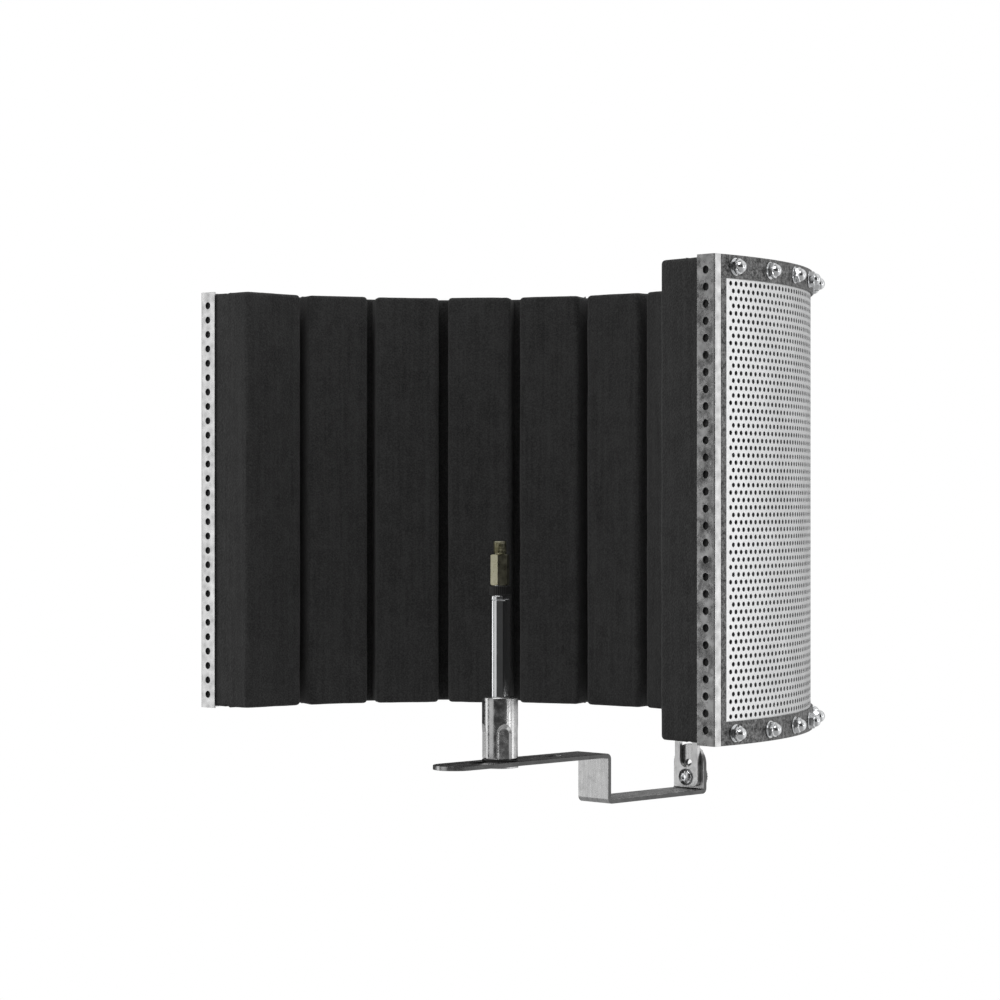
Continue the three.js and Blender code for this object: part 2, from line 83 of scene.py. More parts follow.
HALF_ARC = radians(92.5)
FOAM_ROOT_RADIUS = 219 * MM
FOAM_FACE_RADIUS = 194 * MM
FOAM_END_GAP = 1.5 * MM  # between the foam's ends and the end channels
FOAM_EDGE = 3 * MM  # rounding of the foam's top and bottom edges
FOAM_UNEVENNESS = 0.6 * MM
FOAM_SWELLS = ((28, 0.5), (95, 0.25), (300, 0.16))  # noise scale and share, coarse to fine
FOAM_SHRINK = 0.45
PAD_COUNT = 12
PAD_PITCH = 2 * HALF_ARC / PAD_COUNT
PAD_WIDTH = 47 * MM
PAD_CORNER = 4 * MM
PAD_PRESS = 0.4 * MM  # the pads' backs sink this far into the lining

HOLE_RADIUS = 1.5 * MM
HOLE_PITCH = 5.3 * MM
HOLE_SIDES = 12
SHEET_SECTIONS = 3
SHEET_END_MARGIN = 11.8 * MM

CHANNEL_HOLES = 28
CHANNEL_HOLE_RADIUS = 2.5 * MM
CHANNEL_HOLE_PITCH = 10.4 * MM
CHANNEL_FLANGE = 14.5 * MM
CHANNEL_LEG = 6 * MM
CHANNEL_BEND = 1.1 * MM
SIDE_STRIP_WIDTH = 5 * MM
METAL = 1.2 * MM  # thickness of the sheet, the strips and the channels

NUTS_PER_STRIP = 20
NUT_PITCH = radians(9.25)
NUT_HALF_WIDTH = 4.4 * MM  # half the distance across the hexagon's flats
DOME_RADIUS = 3.9 * MM

PLATE = 3 * MM  # thickness of the bar
BEND_OUTER, BEND_INNER = 4 * MM, 1 * MM
BAR_STEP = 95 * MM  # the bar steps down this far behind the stand
BAR_SLOT_HALF = 5.25 * MM
BAR_SLOT_FRONT, BAR_SLOT_REAR = -48 * MM, 60 * MM
UPRIGHT_SLOT_HALF = 5.75 * MM
UPRIGHT_SLOT_FOOT, UPRIGHT_SLOT_HEAD = 13.5 * MM, 10 * MM  # solid metal below and above the slot
BOLT_HOLE = 3.3 * MM
BOLT_RADIUS = 3 * MM
BOLT_PITCH = 1 * MM
THREAD_DEPTH = 0.6  # share of the pitch
THREAD_STEPS = 10  # rings in one turn of a thread

HUB_EDGE = 0.8 * MM
HUB_STUD_BORE, HUB_STUD_DEPTH = 5 * MM, 20 * MM
HUB_ROD_BORE, HUB_ROD_DEPTH = 7 * MM, 14 * MM
FLAT_DISTANCE = 9.7 * MM  # from the hub's axis to a wrench flat
FLAT_HALF, FLAT_TOP = 3.5 * MM, 21 * MM
FLAT_WALL = radians(40)  # slope of the walls round a wrench flat
FLAT_TURN = radians(-30)

COUPLER_HEX_HEIGHT = 21 * MM
COUPLER_CHAMFER = 0.7 * MM
COUPLER_BORE, COUPLER_BORE_DEPTH = 4.5 * MM, 10 * MM
COUPLER_THREAD, COUPLER_PITCH = 4.7 * MM, 0.95 * MM

# ---- places read from the frame ----

shell_low, shell_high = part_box("perforated_shell")
SHEET_RADIUS = shell_high.x
ARC_CENTRE = Vector((0, shell_high.y - SHEET_RADIUS, 0))
SCREEN_LOW, SCREEN_HIGH = shell_low.z, shell_high.z
strip_low, strip_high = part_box("bottom_edge_strip")
STRIP_HEIGHT = strip_high.z - strip_low.z
STRIP_RADIUS = strip_high.y - ARC_CENTRE.y
STRIP_INNER = STRIP_RADIUS - METAL
STRIP_END = HALF_ARC - (CHANNEL_LEG + CLEARANCE) / STRIP_INNER
FOAM_END_ANGLE = FOAM_END_GAP / (STRIP_RADIUS - CHANNEL_FLANGE)
bolt_low, bolt_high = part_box("clamp_bolt")
BOLT_HEIGHT = (bolt_low.z + bolt_high.z) / 2


# ---- materials ----

def add_node(tree, kind, inputs, **options):
    """A new shader node. An input given a socket is linked to it, and any other is set."""
    node = tree.nodes.new(kind)
    for option, value in options.items():
        setattr(node, option, value)
    for name, value in inputs.items():
        if isinstance(value, bpy.types.NodeSocket):
            tree.links.new(value, node.inputs[name])
        else:
            node.inputs[name].default_value = value
    return node


def smooth_range(tree, source, start, end, low, high):
    """The source's range from start to end, mapped smoothly on to low..high."""
    ends = {"From Min": start, "From Max": end, "To Min": low, "To Max": high}
    node = add_node(tree, "ShaderNodeMapRange", {"Value": source, **ends}, interpolation_type="SMOOTHSTEP")
    return node.outputs["Result"]


class Finish:
    """A procedural material built round one Principled shader, in object coordinates."""

    def __init__(self, name, roughness, metallic=0.0, **constants):
        self.material = bpy.data.materials.new(name)
        self.material.use_nodes = True
        self.tree = self.material.node_tree
        self.shader = self.tree.nodes["Principled BSDF"]
        self.shader.inputs["Roughness"].default_value = roughness
        self.shader.inputs["Metallic"].default_value = metallic
        for socket, value in constants.items():
            self.shader.inputs[socket.replace("_", " ")].default_value = value
        self.coordinates = self.tree.nodes.new("ShaderNodeTexCoord").outputs

    def add(self, kind, output, inputs, **options):
        """The named output of a new node."""
        return add_node(self.tree, kind, inputs, **options).outputs[output]

    def stretched(self, scale):
        """Object coordinates scaled unevenly, for grain that runs one way."""
        inputs = {"Vector": self.coordinates["Object"], "Scale": scale}
        return self.add("ShaderNodeMapping", "Vector", inputs)

    def noise(self, scale, detail=3.0, roughness=0.55, place=None):
        inputs = {"Scale": scale, "Detail": detail, "Roughness": roughness}
        inputs["Vector"] = place or self.coordinates["Object"]
        return self.add("ShaderNodeTexNoise", "Fac", inputs)

    def cells(self, scale):
        inputs = {"Vector": self.coordinates["Object"], "Scale": scale}
        return self.add("ShaderNodeTexVoronoi", "Distance", inputs)

    def sideways(self, start, end):
        """0 to 1 as the surface turns to face along X, either way."""
        across = self.add("ShaderNodeSeparateXYZ", "X", {"Vector": self.coordinates["Normal"]})
        size = self.add("ShaderNodeMath", "Value", {0: across}, operation="ABSOLUTE")
        return self.ramp(size, 0, 1, start, end)

    def dim(self, source, mask, share):
        """The source, lowered to 1 - share of itself where the mask is 1."""
        kept = self.ramp(mask, 1, 1 - share, 0, 1)
        return self.add("ShaderNodeMath", "Value", {0: source, 1: kept}, operation="MULTIPLY")

    def blend(self, first, second, share=0.5):
        return self.add("ShaderNodeMix", "Result", {"Factor": share, "A": first, "B": second})

    def ramp(self, source, low, high, start=0.3, end=0.7):
        return smooth_range(self.tree, source, start, end, low, high)

    def colour(self, source, dark, light, start=0.3, end=0.7):
        """The base colour: dark where the source is at start, light where it is at end."""
        node = add_node(self.tree, "ShaderNodeValToRGB", {"Fac": source})
        for element, position, tone in zip(node.color_ramp.elements, (start, end), (dark, light)):
            element.position = position
            element.color = (*tone, 1)
        self.tree.links.new(node.outputs["Color"], self.shader.inputs["Base Color"])

    def roughness(self, source, low, high):
        self.tree.links.new(self.ramp(source, low, high), self.shader.inputs["Roughness"])

    def bump(self, height, strength, distance):
        inputs = {"Strength": strength, "Distance": distance, "Height": height}
        self.tree.links.new(self.add("ShaderNodeBump", "Normal", inputs), self.shader.inputs["Normal"])


def grey(value):
    return (value, value, value)


def make_bare_sheet():
    """Mill-finish aluminium: pale, with faint rolling lines round the screen and cloudy patches."""
    finish = Finish("bare_sheet_metal", 0.4, metallic=1.0)
    rolled = finish.noise(1, detail=4, place=finish.stretched((60, 60, 1400)))
    clouds = finish.noise(35, detail=4)
    finish.colour(finish.blend(rolled, clouds, 0.6), (0.78, 0.785, 0.79), (0.90, 0.905, 0.91))
    finish.roughness(finish.blend(clouds, finish.noise(700)), 0.34, 0.50)
    finish.bump(finish.blend(rolled, finish.noise(2200)), 0.12, 0.05 * MM)
    return finish.material


def make_dark_coat():
    """Hammered dark paint: mottled charcoal with small light flecks where the high spots wear."""
    finish = Finish("dark_hammered_coat", 0.5, metallic=0.35)
    blotches = finish.noise(330, detail=4, roughness=0.7)
    flecks = finish.noise(900, detail=3, roughness=0.7)
    finish.colour(finish.blend(blotches, flecks, 0.4), grey(0.012), grey(0.36), 0.42, 0.62)
    finish.roughness(blotches, 0.32, 0.62)
    finish.bump(finish.blend(blotches, flecks, 0.35), 0.8, 0.5 * MM)
    return finish.material


def make_channel_metal():
    """Galvanised steel: satin grey with paler spangles and a few dull marks."""
    finish = Finish("channel_zinc", 0.35, metallic=1.0)
    spangles = finish.cells(190)
    marks = finish.noise(120, detail=5, roughness=0.65)
    finish.colour(finish.blend(spangles, marks, 0.55), grey(0.36), grey(0.70), 0.2, 0.75)
    finish.roughness(marks, 0.18, 0.34)
    finish.bump(finish.blend(marks, finish.noise(1500)), 0.10, 0.06 * MM)
    return finish.material


def make_foam():
    """Open-cell acoustic foam: charcoal, fully matt, with pores and faint upright cutting lines."""
    finish = Finish("acoustic_foam", 1.0, Specular_IOR_Level=0.15, Sheen_Weight=0.12, Sheen_Roughness=0.6)
    pores = finish.cells(900)
    cuts = finish.noise(1, detail=3, place=finish.stretched((420, 420, 14)))
    cloud = finish.noise(70, detail=5, roughness=0.6)
    tone = finish.blend(finish.blend(cloud, cuts, 0.45), pores, 0.35)
    finish.colour(tone, grey(0.013), grey(0.056), 0.25, 0.62)
    finish.roughness(cloud, 0.92, 1.0)
    finish.bump(finish.blend(pores, finish.noise(420, detail=4), 0.5), 0.8, 0.9 * MM)
    return finish.material


def add_plate_layers(finish):
    """The grain, handling marks and bump of zinc plate; gives its tone and its marks."""
    grain = finish.noise(1, detail=3, place=finish.stretched((1500, 60, 60)))
    marks = finish.noise(170, detail=5, roughness=0.65)
    finish.bump(finish.blend(grain, finish.noise(1300)), 0.12, 0.06 * MM)
    return finish.blend(grain, marks, 0.6), marks


def make_plated_steel():
    """Zinc-plated steel with fine grain and handling marks."""
    finish = Finish("plated_steel_finish", 0.32, metallic=1.0)
    tone, marks = add_plate_layers(finish)
    finish.colour(tone, grey(0.54), grey(0.74), 0.28, 0.72)
    finish.roughness(marks, 0.26, 0.40)
    return finish.material


def make_side_shaded_plate():
    """The flat bar's zinc plate; its two long sides, which face along X, are rougher and carry painted
    shade.
    """
    finish = Finish("plate_with_painted_side_shade", 0.32, metallic=1.0)
    tone, marks = add_plate_layers(finish)
    # painted shade: faces turned along X have their colour lowered by three quarters, and are rougher too
    painted_shade_sides = finish.sideways(0.75, 0.95)
    finish.colour(finish.dim(tone, painted_shade_sides, 0.75), grey(0.06), grey(0.74), 0.05, 0.72)
    finish.roughness(finish.blend(marks, painted_shade_sides, 0.3), 0.26, 0.46)
    return finish.material


def make_chrome():
    """Bright chrome with a trace of polishing haze."""
    finish = Finish("chrome_finish", 0.08, metallic=1.0)
    haze = finish.noise(60, detail=5, roughness=0.6)
    finish.colour(haze, (0.74, 0.75, 0.76), (0.88, 0.89, 0.90))
    finish.roughness(haze, 0.05, 0.15)
    finish.bump(finish.noise(420, detail=2), 0.06, 0.04 * MM)
    return finish.material


def make_hub_chrome():
    """Satin chrome on a turned casting, cloudier than the bright chrome of the nuts."""
    finish = Finish("hub_chrome_finish", 0.2, metallic=1.0)
    cloud = finish.noise(230, detail=5, roughness=0.65)
    finish.colour(cloud, grey(0.50), grey(0.84), 0.32, 0.68)
    finish.roughness(cloud, 0.14, 0.30)
    finish.bump(finish.noise(650, detail=3), 0.14, 0.06 * MM)
    return finish.material


def make_warm_nickel():
    """Dull nickel with a brassy cast, darker in patches."""
    finish = Finish("warm_nickel_finish", 0.3, metallic=1.0)
    patina = finish.noise(160, detail=5, roughness=0.65)
    finish.colour(patina, (0.23, 0.22, 0.14), (0.55, 0.53, 0.40))
    finish.roughness(patina, 0.22, 0.42)
    finish.bump(finish.noise(1100), 0.12, 0.06 * MM)
    return finish.material


def make_black_plastic():
    """Moulded black nylon with a fine spark-eroded grain."""
    finish = Finish("black_nylon", 0.45)
    grain = finish.noise(1800, detail=3)
    clouds = finish.noise(90, detail=4)
    finish.colour(finish.blend(clouds, grain, 0.4), grey(0.008), grey(0.026))
    finish.roughness(clouds, 0.36, 0.58)
    finish.bump(grain, 0.3, 0.10 * MM)
    return finish.material


def make_dark_steel():
    """Blackened steel, worn lighter in patches."""
    finish = Finish("dark_steel_finish", 0.4, metallic=1.0)
    wear = finish.noise(300, detail=5, roughness=0.7)
    finish.colour(wear, grey(0.07), grey(0.26), 0.32, 0.7)
    finish.roughness(wear, 0.28, 0.5)
    finish.bump(finish.noise(1500), 0.2, 0.08 * MM)
    return finish.material


FINISHES = {
    "bare_sheet": make_bare_sheet(),
    "dark_coat": make_dark_coat(),
    "channel_metal": make_channel_metal(),
    "foam": make_foam(),
    "plated_steel": make_plated_steel(),
    "chrome": make_chrome(),
    "warm_nickel": make_warm_nickel(),
    "black_plastic": make_black_plastic(),
    "dark_steel": make_dark_steel(),
}


# ---- mesh helpers ----

def new_object(name, verts, faces):
    """A linked object with the mesh's faces turned outwards."""
    mesh = bpy.data.meshes.new(name)
    mesh.from_pydata([tuple(v) for v in verts], [], faces)
    mesh.validate()
    work = bmesh.new()
    work.from_mesh(mesh)
    bmesh.ops.recalc_face_normals(work, faces=work.faces)
    work.to_mesh(mesh)
    work.free()
    obj = bpy.data.objects.new(name, mesh)
    bpy.context.scene.collection.objects.link(obj)
    return obj


def settle(obj, body, slot, *nodes, crease=35, flat_faces=True, finish=None):
    """Shades the piece, gives it its finish, and hands it to its body in place of the CAD nodes."""
    obj.data.shade_smooth()
    obj.data.set_sharp_from_angle(angle=radians(crease))
    if flat_faces:
        obj.modifiers.new("normals", "WEIGHTED_NORMAL").keep_sharp = True
        apply_modifiers(obj)
    obj.data.materials.clear()
    obj.data.materials.append(finish or FINISHES[slot])
    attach(obj, body)
    if nodes:
        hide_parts(*nodes)


def apply_modifiers(obj):
    """The object's mesh becomes what its modifiers show."""
    bpy.context.view_layer.update()
    shown = obj.evaluated_get(bpy.context.evaluated_depsgraph_get())
    mesh = bpy.data.meshes.new_from_object(shown)
    obj.modifiers.clear()
    old = obj.data
    obj.data = mesh
    bpy.data.meshes.remove(old)


def carve(obj, cutters, operation="DIFFERENCE"):
    """Cuts the cutters out of the object, and removes them."""
    for cutter in cutters:
        step = obj.modifiers.new(cutter.name, "BOOLEAN")
        step.operation = operation
        step.solver = "EXACT"
        step.object = cutter
    apply_modifiers(obj)
    for cutter in cutters:
        bpy.data.objects.remove(cutter)


def soften(obj, width, limit, segments=2):
    """Rounds the edges that turn by more than the limit in degrees."""
    step = obj.modifiers.new("edges", "BEVEL")
    step.width = width
    step.segments = segments
    step.limit_method = "ANGLE"
    step.angle_limit = radians(limit)
    step.miter_outer = "MITER_ARC"
    apply_modifiers(obj)
    return obj


def fillet(corners, steps):
    """A closed outline from (x, y, radius) corners, each rounded to its radius."""
    outline = []
    count = len(corners)
    for i, (x, y, radius) in enumerate(corners):
        here = Vector((x, y))
        if radius <= 0:
            outline.append(here)
            continue
        back = (Vector(corners[i - 1][:2]) - here).normalized()
        ahead = (Vector(corners[(i + 1) % count][:2]) - here).normalized()
        half = back.angle(ahead) / 2
        centre = here + (back + ahead).normalized() * radius / sin(half)
        start = here + back * radius / tan(half) - centre
        end = here + ahead * radius / tan(half) - centre
        sweep = start.angle_signed(end)
        for k in range(steps + 1):
            turned = start.copy()
            turned.rotate(Matrix.Rotation(-sweep * k / steps, 2))
            outline.append(centre + turned)
    return outline


def spread(start, end, steps):
    """Evenly spaced numbers from start to end, both included."""
    return [start + (end - start) * k / steps for k in range(steps + 1)]


def arc(radius, centre, start, end, steps):
    """Points round a centre from the start angle to the end angle, both included."""
    x, y = centre
    return [Vector((x + radius * cos(a), y + radius * sin(a))) for a in spread(start, end, steps)]


def circle(radius, sides, centre=(0, 0)):
    return arc(radius, centre, 0, 2 * pi, sides)[:-1]


def slot_outline(half_width, low, high):
    """An upright slot with round ends, between the heights low and high."""
    head = arc(half_width, (0, high - half_width), 0, pi, 24)
    return head + arc(half_width, (0, low + half_width), pi, 2 * pi, 24)


def prism(name, outline, low, high, lift):
    """A solid swept from low to high; lift(a, b, t) turns an outline point and a depth to a place."""
    rings = [[lift(p.x, p.y, t) for p in outline] for t in (low, high)]
    return new_object(name, *skin(rings, capped=True))


def along_x(a, b, t):
    return (t, a, b)


def along_y(a, b, t):
    return (a, t, b)


def along_z(a, b, t):
    return (a, b, t)


def turn(profile, segments, lift, shape=None):
    """Rings of points: each (radius, height, ...) of a profile turned about an axis.

    lift(a, b, t) places the point (a, b) of the ring at height t. shape(radius, angle, ...) gives the
    radius at an angle, and takes what follows the height in the profile.
    """
    rings = []
    for radius, height, *marks in profile:
        ring = []
        for k in range(1 if radius < 1e-7 else segments):
            angle = 2 * pi * k / segments
            here = shape(radius, angle, *marks) if shape else radius
            ring.append(lift(here * cos(angle), here * sin(angle), height))
        rings.append(ring)
    return rings


def skin(rings, closed=False, capped=False):
    """Vertices and faces over rings of points; a ring of one point is a tip.

    Closed joins the last ring to the first, and capped shuts the first and last rings.
    """
    verts, numbers, faces = [], [], []
    for ring in rings:
        numbers.append(range(len(verts), len(verts) + len(ring)))
        verts += ring
    pairs = list(zip(numbers, numbers[1:]))
    if closed:
        pairs.append((numbers[-1], numbers[0]))
    for low, high in pairs:
        count = max(len(low), len(high))
        for k in range(count):
            n = (k + 1) % count
            corners = [low[k % len(low)], low[n % len(low)], high[n % len(high)], high[k % len(high)]]
            face = tuple(dict.fromkeys(corners))
            if len(face) > 2:
                faces.append(face)
    if capped:
        faces += [tuple(numbers[0]), tuple(numbers[-1])]
    return verts, faces


def lathe(name, profile, segments, place=(0, 0, 0), lift=along_z, shape=None, closed=False, capped=False):
    """A turned solid; a closed profile makes a ring, and a capped one has flat ends."""
    def put(a, b, t):
        return Vector(lift(a, b, t)) + Vector(place)

    return new_object(name, *skin(turn(profile, segments, put, shape), closed, capped))


def waves(count, depth, sharpness=1.0):
    """A shape for turn: waves cut in by the depth, times the share that the profile gives."""
    def shape(radius, angle, share):
        wave = 0.5 - 0.5 * cos(count * angle)
        return radius - share * depth * wave ** sharpness

    return shape


def ring_profile(outer, bore, low, high, edge):
    """A washer's section with rounded corners."""
    corners = [(bore, low, edge), (outer, low, edge), (outer, high, edge), (bore, high, edge)]
    return [tuple(p) for p in fillet(corners, 3)]


def thread(name, radius, pitch, low, high, place, lift=along_y, segments=24):
    """A screw thread from low to high along the axis, fading out to chamfered flat ends."""
    depth = THREAD_DEPTH * pitch
    count = int((high - low) / pitch * THREAD_STEPS)
    profile = []
    for along in spread(low, high, count):
        fade = min(1, (along - low) / pitch, (high - along) / pitch)
        profile.append((radius, along, along / pitch, fade))

    def groove(crest, angle, turns, fade):
        phase = (turns - angle / (2 * pi)) % 1
        return crest - depth * (1 - fade) - depth * fade * abs(2 * phase - 1)

    return lathe(name, profile, segments, place, lift, groove, capped=True)


def thicken(name, points, faces, outer, inner):
    """A closed sheet: flat faces mapped on to two surfaces, with walls round every free edge."""
    count = len(points)
    verts = [outer(*p) for p in points] + [inner(*p) for p in points]
    edges = set()
    for face in faces:
        for a, b in zip(face, face[1:] + face[:1]):
            edges.add((a, b))
    both = list(faces)
    both += [tuple(count + k for k in reversed(face)) for face in faces]
    both += [(b, a, a + count, b + count) for a, b in sorted(edges) if (b, a) not in edges]
    return new_object(name, verts, both)


class Grid:
    """A flat grid of cells in which some cells, two columns wide, hold a round hole."""

    def __init__(self, columns, rows):
        self.columns, self.rows = columns, rows
        self.points, self.faces, self.index = [], [], {}

    def corner(self, c, r):
        if (c, r) not in self.index:
            self.index[c, r] = len(self.points)
            self.points.append((self.columns[c], self.rows[r]))
        return self.index[c, r]

    def plain(self, c, r):
        self.faces.append((
            self.corner(c, r), self.corner(c + 1, r), self.corner(c + 1, r + 1), self.corner(c, r + 1),
        ))

    def holed(self, c, r, radius, sides):
        """A cell over columns c to c + 2 with a hole; sides is a multiple of 12."""
        middle = (self.columns[c + 1], (self.rows[r] + self.rows[r + 1]) / 2)
        first = len(self.points)
        for k in range(sides):
            angle = 2 * pi * k / sides
            self.points.append((middle[0] + radius * cos(angle), middle[1] + radius * sin(angle)))
        rim = [(c + 2, r), (c + 2, r + 1), (c + 1, r + 1), (c, r + 1), (c, r), (c + 1, r)]
        stops = [-1, 1, 3, 5, 7, 9, 11]  # twelfths of a turn where the rim's corners meet the hole
        step = sides // 12
        for k in range(6):
            outside = [self.corner(*rim[k]), self.corner(*rim[(k + 1) % 6])]
            edge = [first + s % sides for s in range(stops[k + 1] * step, stops[k] * step - 1, -1)]
            self.faces.append(tuple(outside + edge))


def on_arc(angle, radius, height):
    """A place on the screen's arc; the angle runs from +Y towards +X."""
    return ARC_CENTRE + Vector((radius * sin(angle), radius * cos(angle), height))


def directions(angle):
    """The outward and the across direction at an angle of the arc, from +Y towards +X."""
    return Vector((sin(angle), cos(angle), 0)), Vector((cos(angle), -sin(angle), 0))


# ---- screen: metal ----

def add_perforated_sheet():
    """The holed sheet, in sections that meet along a zigzag between the holes."""
    reach = HALF_ARC * SHEET_RADIUS - METAL - CLEARANCE
    holes_across = int(2 * (reach - SHEET_END_MARGIN) / HOLE_PITCH)
    half = holes_across * HOLE_PITCH / 2
    columns = [-reach, *spread(-half, half, 2 * holes_across), reach]
    margin = STRIP_HEIGHT + 0.6 * MM
    low, high = SCREEN_LOW + margin, SCREEN_HIGH - margin
    row_count = round((high - low) / (HOLE_PITCH * sqrt(3) / 2))
    rows = [SCREEN_LOW, *spread(low, high, row_count), SCREEN_HIGH]
    last = len(columns) - 2

    def outer(u, v):
        return on_arc(u / SHEET_RADIUS, SHEET_RADIUS, v)

    def inner(u, v):
        return on_arc(u / SHEET_RADIUS, SHEET_RADIUS - METAL, v)

    for k in range(SHEET_SECTIONS):
        first = holes_across * k // SHEET_SECTIONS
        beyond = holes_across * (k + 1) // SHEET_SECTIONS
        low_c = 0 if k == 0 else 1 + 2 * first
        high_c = last + 1 if k == SHEET_SECTIONS - 1 else 1 + 2 * beyond
        grid = Grid(columns, rows)
        for r in (0, len(rows) - 2):
            for c in range(low_c, high_c):
                grid.plain(c, r)
        for r in range(1, len(rows) - 2):
            shift = (r - 1) % 2
            for i in range(first, beyond - (shift if beyond == holes_across else 0)):
                grid.holed(1 + 2 * i + shift, r, HOLE_RADIUS, HOLE_SIDES)
            if k == 0:
                for c in range(0, 1 + shift):
                    grid.plain(c, r)
            if k == SHEET_SECTIONS - 1:
                for c in range(last - shift, last + 1):
                    grid.plain(c, r)
        sheet = thicken(f"holed_sheet_{k + 1}", grid.points, grid.faces, outer, inner)
        settle(sheet, "screen", "bare_sheet", "perforated_shell", flat_faces=False)


def add_strip(name, start, end, steps, low, high, node):
    """A painted strip over the sheet, from one angle of the arc to another."""
    grid = Grid(spread(start, end, steps), [low, high])
    for c in range(steps):
        grid.plain(c, 0)
    strip = thicken(
        name, grid.points, grid.faces,
        lambda a, v: on_arc(a, STRIP_RADIUS, v), lambda a, v: on_arc(a, STRIP_INNER, v),
    )
    settle(soften(strip, PLATE_EDGE, limit=50), "screen", "dark_coat", node)


def add_edge_strip(name, low, node):
    add_strip(name, -STRIP_END, STRIP_END, 150, low, low + STRIP_HEIGHT, node)


def add_side_strip(name, side, node):
    """The upright strip beside an end channel, between the top and bottom strips."""
    low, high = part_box(node)
    start, end = sorted((side * STRIP_END, side * (STRIP_END - SIDE_STRIP_WIDTH / STRIP_INNER)))
    add_strip(name, start, end, 4, low.z, high.z, node)


def add_channel(name, side, node):
    """The L-section end channel at side +1 or -1: a holed flange, a rolled bend and a short leg."""
    end = side * HALF_ARC
    radial, across = directions(end)
    inwards = across * -side
    flat = CHANNEL_FLANGE - CHANNEL_BEND
    hole_at = CHANNEL_FLANGE / 2
    half_cell = 4.2 * MM
    # past the flat, a column counts 0 to 1 round the bend, and 2 is the leg's end
    columns = [0, hole_at - half_cell, hole_at, hole_at + half_cell, *spread(flat, flat + 1, 6), flat + 2]
    middle = (SCREEN_LOW + SCREEN_HIGH) / 2
    half = CHANNEL_HOLES * CHANNEL_HOLE_PITCH / 2
    rows = [SCREEN_LOW, *spread(middle - half, middle + half, CHANNEL_HOLES), SCREEN_HIGH]

    def surface(offset, bend_radius):
        """The mapping for a face that lies offset inside the channel's outer faces."""
        def place(u, v):
            out = STRIP_RADIUS - CHANNEL_FLANGE + u
            depth = offset
            corner = STRIP_RADIUS - offset - bend_radius
            if u > flat:
                turned = min(1, u - flat) * pi / 2
                out = corner + bend_radius * sin(turned)
                depth = offset + bend_radius * (1 - cos(turned))
            elif u == flat:
                out = corner
            if u > flat + 1:
                depth = CHANNEL_LEG
            return ARC_CENTRE + radial * out + inwards * depth + UP * v
        return place

    grid = Grid(columns, rows)
    for r in range(len(rows) - 1):
        holed = 0 < r < len(rows) - 2
        for c in range(len(columns) - 1):
            if holed and c == 1:
                grid.holed(c, r, CHANNEL_HOLE_RADIUS, 24)
            elif not (holed and c == 2):
                grid.plain(c, r)
    channel = thicken(name, grid.points, grid.faces, surface(0, CHANNEL_BEND), surface(METAL, 0.4 * MM))
    settle(soften(channel, 0.15 * MM, limit=60), "screen", "channel_metal", node)


def add_cap_nuts(name, height):
    """The row of acorn nuts along one edge strip, each a washer, a hexagon and a dome.

    The third value of a profile point is 1 where the hexagon's flats cut it.
    """
    washer_top = 0.8 * MM
    shoulder = washer_top + 3.2 * MM
    hex_corner = 5.1 * MM
    washer = 5.4 * MM
    profile = [(0, 0, 0), (washer - 0.1 * MM, 0, 0), (washer, 0.15 * MM, 0)]
    profile += [(washer, washer_top - 0.15 * MM, 0), (washer - 0.2 * MM, washer_top, 0)]
    profile += [(4.55 * MM, washer_top, 1), (hex_corner, washer_top + 0.35 * MM, 1)]
    profile += [(hex_corner, shoulder - 0.45 * MM, 1), (4.5 * MM, shoulder, 1)]
    profile += [(DOME_RADIUS + 0.25 * MM, shoulder + 0.15 * MM, 0)]
    profile += [
        (DOME_RADIUS * cos(t), shoulder + 0.3 * MM + DOME_RADIUS * 0.92 * sin(t), 0)
        for t in spread(0, pi / 2, 9)
    ]

    def hexagon(radius, angle, hexed):
        within = (angle + pi / 6) % (pi / 3) - pi / 6
        return min(radius, NUT_HALF_WIDTH / cos(within)) if hexed else radius

    verts, faces = [], []
    for i in range(NUTS_PER_STRIP):
        angle = (i - (NUTS_PER_STRIP - 1) / 2) * NUT_PITCH
        out, across = directions(angle)
        base = on_arc(angle, STRIP_RADIUS, height)
        twist = (i * 0.37) % 1 * pi / 3
        first = across * cos(twist) + UP * sin(twist)
        second = UP * cos(twist) - across * sin(twist)

        def place(a, b, t):
            return base + out * t + first * a + second * b

        nut_verts, nut_faces = skin(turn(profile, 48, place, hexagon))
        faces += [tuple(len(verts) + v for v in face) for face in nut_faces]
        verts += nut_verts
    settle(new_object(name, verts, faces), "screen", "chrome", crease=30)


# ---- screen: foam ----

def resample(outline, spacing):
    """The closed outline with extra points so that no stretch is longer than the spacing."""
    dense = []
    for p, q in zip(outline, outline[1:] + outline[:1]):
        pieces = max(1, ceil((q - p).length / spacing))
        dense += [p.lerp(q, k / pieces) for k in range(pieces)]
    return dense


def inset(outline, distance):
    """The outline moved inwards; it runs clockwise."""
    moved = []
    count = len(outline)
    for i, p in enumerate(outline):
        before = (p - outline[i - 1]).normalized()
        after = (outline[(i + 1) % count] - p).normalized()
        normal = Vector((before.y + after.y, -before.x - after.x)).normalized()
        lean = max(0.5, normal.dot(Vector((before.y, -before.x))))
        moved.append(p + normal * distance / lean)
    return moved


